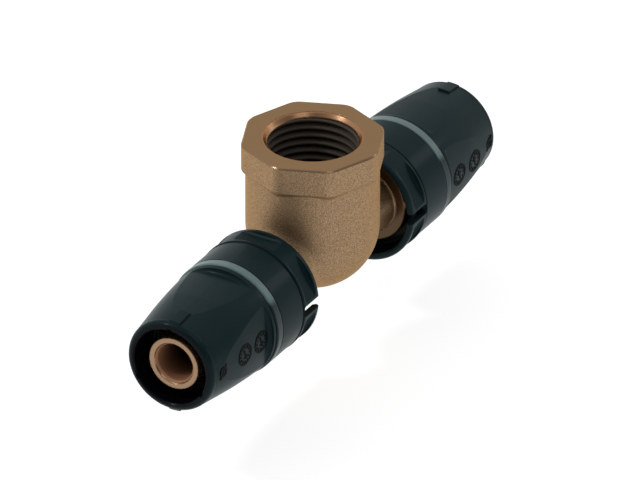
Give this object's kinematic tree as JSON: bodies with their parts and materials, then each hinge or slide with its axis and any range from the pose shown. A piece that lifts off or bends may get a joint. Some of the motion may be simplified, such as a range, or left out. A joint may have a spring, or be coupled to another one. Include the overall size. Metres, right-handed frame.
{
  "type": "threaded tee fitting",
  "caption": "Push-fit pipe tee: bronze body with an eight-sided threaded branch on top and a dark plastic push-fit end at each side.",
  "frame": {"origin": "centre of the branch's mouth, in the plane of the octagon's machined top", "axes": "+X along the run towards the right push-fit end, +Z along the threaded branch towards its mouth, +Y to complete a right-handed frame"},
  "size_m": [0.1162, 0.0302, 0.0387],
  "materials": {
    "bronze": "cast, with machined faces",
    "black_plastic": "fine satin moulding",
    "window": "see-through moulding",
    "clamp": "plain moulding",
    "insulator": "plain moulding",
    "seal": "smooth rubber"
  },
  "bodies": {
    "root": {"tee_body": "bronze", "left_cap": "black_plastic", "left_window_ring": "window", "left_base_sleeve": "black_plastic", "left_clamp_ring": "clamp", "left_inner_o_ring": "seal", "left_outer_o_ring": "seal", "left_stop_ring": "insulator", "right_cap": "black_plastic", "right_window_ring": "window", "right_base_sleeve": "black_plastic", "right_clamp_ring": "clamp", "right_inner_o_ring": "seal", "right_outer_o_ring": "seal", "right_stop_ring": "insulator"}
  },
  "joints": []
}
